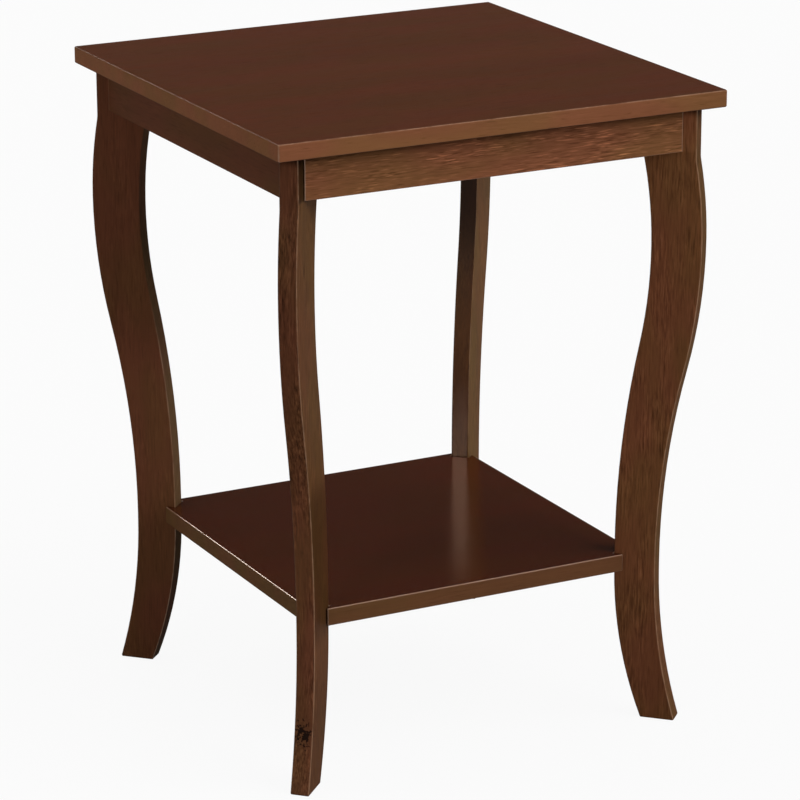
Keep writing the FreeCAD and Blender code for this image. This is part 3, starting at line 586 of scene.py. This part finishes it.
# Besides what it has different from WOOD, each board has a colour for its broad faces, face, one
# for its narrow faces, side, and the place in the noise that it is cut from, cut.
PANEL_AXES = (X_AXIS, Y_AXIS, Z_AXIS)
PANEL = {
    **WOOD,
    "figure": 0.30,
    "pore": 0.10,
    "end_grain": 0.0,
    "corner": 1.0,
    "edge": 0.8,
}
PANEL_LOOKS = {
    "top_panel": {
        **PANEL,
        "face": (0.075, 0.0236, 0.0100),
        "side": (0.184, 0.075, 0.033),
        "cut": (0.0, 0.0, 0.0),
        "fibre": 0.34,
        "fleck": 0.10,
        "mark": 0.25,
        "edge_colour": (0.30, 0.175, 0.112),
        "edge_coat": 0.0,
        "edge_even": 0.2,
        "edge_turn": (0.40, 0.72),
        "coat": 0.3,
    },
    "shelf": {
        **PANEL,
        "face": (0.0635, 0.0142, 0.0042),
        "side": (0.110, 0.050, 0.021),
        "cut": (3.0, 1.0, 0.0),
        "fibre": 0.14,
        "fleck": 0.0,
        "edge_colour": (0.32, 0.19, 0.125),
        "edge_coat": 1.0,
        "edge_even": 0.9,
        "coat": 0.9,
    },
}

APRON_AXES = {
    "front": (X_AXIS, Z_AXIS, Y_AXIS),
    "back": (X_AXIS, Z_AXIS, Y_AXIS),
    "left": (Y_AXIS, Z_AXIS, X_AXIS),
    "right": (Y_AXIS, Z_AXIS, X_AXIS),
}
APRON_COLOURS = {
    "front": (0.180, 0.072, 0.032),
    "back": (0.180, 0.072, 0.032),
    "left": (0.101, 0.0375, 0.0165),
    "right": (0.150, 0.060, 0.027),
}
APRON = {
    **WOOD,
    "figure": 0.28,
    "fibre": 1.6,
    "fleck": 0.80,
    "pore": 0.25,
    "edge": 1.0,
    "edge_colour": (0.34, 0.20, 0.13),
    "edge_coat": 1.0,
    "edge_even": 1.0,
}
# What one apron has different: the grain of the left one is fainter.
APRON_LOOKS = {"left": {"figure": 0.3, "fibre": 0.4, "fleck": 0.05, "pore": 0.15}}
APRON_CUT = (5.0, 0.0, 2.0)
APRON_CUT_STEP = (1.0, 0.3, 0.0)

# The way out from the middle of the table to each leg, counted from X towards Y.
LEG_TURNS = {"front_left": 225.0, "front_right": 315.0, "back_left": 135.0, "back_right": 45.0}
# Colours of the broad faces and of the narrow faces.
LEG_COLOURS = {
    "front_left": ((0.100, 0.042, 0.0160), (0.088, 0.0335, 0.0152)),
    "front_right": ((0.138, 0.053, 0.022), (0.105, 0.048, 0.021)),
    "back_left": ((0.094, 0.0355, 0.0165), (0.115, 0.060, 0.032)),
    "back_right": ((0.116, 0.056, 0.021), (0.092, 0.033, 0.011)),
}
# What each leg has different from the rest of the wood.
LEG_LOOKS = {
    "front_left": {"knot": KNOT_PLACE, "side_grain": 2.0, "edge": 0.7},
    "front_right": {"figure": 0.25, "fibre": 1.7, "edge": 0.9, "specular": 0.0005},
    "back_left": {"fibre": 0.6, "edge": 1.0, "edge_high": 0.05, "specular": 0.0005},
    "back_right": {"coat_side": 0.12},
}
LEG_CUT = (11.0, 0.0, 4.0)
LEG_CUT_STEP = (1.0, 0.7, 0.0)

# Bands of height of painted shade and painted light on a leg, darker where less light falls and
# lighter where more does: from low to high, how softly it starts and ends, and the tone there of
# the broad and of the narrow faces.
Band = namedtuple("Band", "low high soft broad narrow")
UNDER_FLOOR = -1.0
OVER_TOP = 1.0
APRON_BOTTOM = 0.557
INSIDE_SHELF = 0.157
LEG_SHADE_AND_LIGHT_BANDS = {
    "front_left": (
        Band(APRON_BOTTOM, OVER_TOP, 0.002, 0.40, 1.0),
        Band(0.143, 0.285, 0.016, 0.62, 1.18),
        Band(UNDER_FLOOR, INSIDE_SHELF, 0.008, 1.0, 1.12),
        Band(UNDER_FLOOR, 0.100, 0.030, 0.80, 1.0),
    ),
    "front_right": (
        Band(APRON_BOTTOM, OVER_TOP, 0.002, 1.25, 1.0),
        Band(UNDER_FLOOR, 0.130, 0.030, 0.87, 1.0),
    ),
    "back_left": (
        Band(0.410, OVER_TOP, 0.050, 1.0, 0.60),
        Band(0.165, 0.320, 0.040, 1.30, 1.35),
        Band(UNDER_FLOOR, INSIDE_SHELF, 0.008, 1.0, 0.55),
    ),
    "back_right": (
        Band(0.35, OVER_TOP, 0.07, 1.0, 0.28),
        Band(0.420, OVER_TOP, 0.050, 0.68, 1.0),
        Band(UNDER_FLOOR, 0.250, 0.070, 1.0, 0.52),
    ),
}


def cut_from(start, step, index):
    """The place in the noise that a board is cut from, another one for each board."""
    return tuple(first + index * more for first, more in zip(start, step))


def leg_directions(corner):
    """The way out from the middle of the table to a leg, and the way across it."""
    turn = math.radians(LEG_TURNS[corner])
    return (math.cos(turn), math.sin(turn), 0.0), (-math.sin(turn), math.cos(turn), 0.0)


def finish_node(node, material):
    """Gives every material slot of a CAD node one material."""
    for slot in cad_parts[node].material_slots:
        slot.material = material


def finish_panels():
    """The top and the shelf, glossy on their broad faces and paler round their edges with painted
    highlight.
    """
    for node, look in PANEL_LOOKS.items():
        finish_node(node, stained_wood("wood_" + node, PANEL_AXES, look))


def finish_aprons():
    """The aprons, with a lively grain and a pale line of painted highlight down each end."""
    for index, (side, axes) in enumerate(APRON_AXES.items()):
        node = "apron_" + side
        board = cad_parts[node]
        along = Vector(axes[0])
        corners = [board.matrix_world @ Vector(corner) for corner in board.bound_box]
        look = {
            **APRON,
            "face": APRON_COLOURS[side],
            "side": APRON_COLOURS[side],
            "cut": cut_from(APRON_CUT, APRON_CUT_STEP, index),
            "end": max(abs(along.dot(corner)) for corner in corners),
            **APRON_LOOKS.get(side, {}),
        }
        finish_node(node, stained_wood("wood_" + node, axes, look))


def finish_legs():
    """The legs, upright grain, each from its own board, with bands of painted shade and painted
    light.
    """
    for index, corner in enumerate(LEG_TURNS):
        node = "leg_" + corner
        out, across = leg_directions(corner)
        face, side = LEG_COLOURS[corner]
        look = {
            **WOOD,
            "face": face,
            "side": side,
            "cut": cut_from(LEG_CUT, LEG_CUT_STEP, index),
            "shade_and_light_bands": LEG_SHADE_AND_LIGHT_BANDS[corner],
            "curved": True,
            **LEG_LOOKS[corner],
        }
        finish_node(node, stained_wood("wood_" + node, (Z_AXIS, out, across), look))


# --------------------------------------------------------------------------------- hidden pieces

# Each material out of sight has two colours, mixed by its pattern.
BLOCK_COLOURS = ((0.150, 0.068, 0.037), (0.185, 0.090, 0.050))
DOWEL_COLOURS = ((0.55, 0.38, 0.22), (0.62, 0.45, 0.28))
DOWEL_AXES = (Z_AXIS, X_AXIS, Y_AXIS)

Metal = namedtuple("Metal", "first second roughness grain nodes")
METALS = {
    "zinc_steel": Metal(
        first=(0.58, 0.58, 0.60),
        second=(0.66, 0.65, 0.62),
        roughness=0.34,
        grain=Pattern(2500.0, 2500.0),
        nodes=(
            "spring_washers",
            "flat_washers",
            "threaded_inserts",
            "block_screws",
            "top_screws",
            "cam_bolts",
        ),
    ),
    "black_steel": Metal(
        first=(0.030, 0.030, 0.032),
        second=(0.045, 0.043, 0.042),
        roughness=0.42,
        grain=Pattern(2500.0, 2500.0),
        nodes=("leg_bolts",),
    ),
    "cast_zinc": Metal(
        first=(0.50, 0.50, 0.51),
        second=(0.60, 0.60, 0.61),
        roughness=0.48,
        grain=Pattern(1500.0, 1500.0),
        nodes=("cam_locks",),
    ),
}

# The noise between which the first colour gives way to the second.
MIXES = (0.35, 0.65)

# Two values of the noise, and the tone or roughness of sawn wood at each of them.
SAWN_TONE = (0.25, 0.75, 0.82, 1.12)
SAWN_ROUGHNESS = (0.3, 0.7, 0.55, 0.7)
SAWN_SPECULAR = 0.2
SAWN_RELIEF = 0.4

# The noise between which a metal gets rougher, from this much below its roughness to this much
# above it.
METAL_ROUGHENS = (0.3, 0.7)
METAL_BELOW = 0.06
METAL_ABOVE = 0.08
METAL_RELIEF = 0.3
METAL_RELIEF_DEPTH = 0.0001


def plain_wood(name, axes, colours):
    """Wood out of sight: sawn, thinly finished, with fibres and rings."""
    material = new_material(name)
    tree = material.node_tree
    place = in_board(tree, add_node(tree, "ShaderNodeTexCoord").outputs["Object"], axes)
    rings = noise(tree, place, RINGS)
    fibres = noise(tree, place, SAWN_FIBRES)
    first, second = colours
    colour = blend_colours(tree, spread(tree, rings, *MIXES), opaque(first), opaque(second))
    put_shader(tree, {
        "Base Color": toned(tree, colour, spread(tree, fibres, *SAWN_TONE)),
        "Roughness": spread(tree, rings, *SAWN_ROUGHNESS),
        "Normal": bumped(tree, fibres, SAWN_RELIEF, RELIEF_DEPTH),
        "Specular IOR Level": SAWN_SPECULAR,
    })
    return material


def worked_metal(name, metal):
    """Plated or cast metal with cloudy tone and a fine uneven surface."""
    material = new_material(name)
    tree = material.node_tree
    place = add_node(tree, "ShaderNodeTexCoord").outputs["Object"]
    clouds = noise(tree, place, CLOUDS)
    mix = spread(tree, clouds, *MIXES)
    smoothest = metal.roughness - METAL_BELOW
    roughest = metal.roughness + METAL_ABOVE
    put_shader(tree, {
        "Base Color": blend_colours(tree, mix, opaque(metal.first), opaque(metal.second)),
        "Roughness": spread(tree, clouds, *METAL_ROUGHENS, smoothest, roughest),
        "Normal": bumped(tree, noise(tree, place, metal.grain), METAL_RELIEF, METAL_RELIEF_DEPTH),
        "Metallic": 1.0,
    })
    return material


def finish_hidden_pieces():
    """Corner blocks, dowels and all the metal fittings."""
    for corner in LEG_TURNS:
        out, across = leg_directions(corner)
        material = plain_wood("wood_block_" + corner, (across, out, Z_AXIS), BLOCK_COLOURS)
        finish_node("corner_block_" + corner, material)
    finish_node("top_dowels", plain_wood("wood_dowel", DOWEL_AXES, DOWEL_COLOURS))
    for name, metal in METALS.items():
        material = worked_metal(name, metal)
        for node in metal.nodes:
            finish_node(node, material)


make_camera()
make_floor()
make_world()
make_lamps()
finish_panels()
finish_aprons()
finish_legs()
finish_hidden_pieces()
bpy.context.scene.view_settings.view_transform = "Standard"
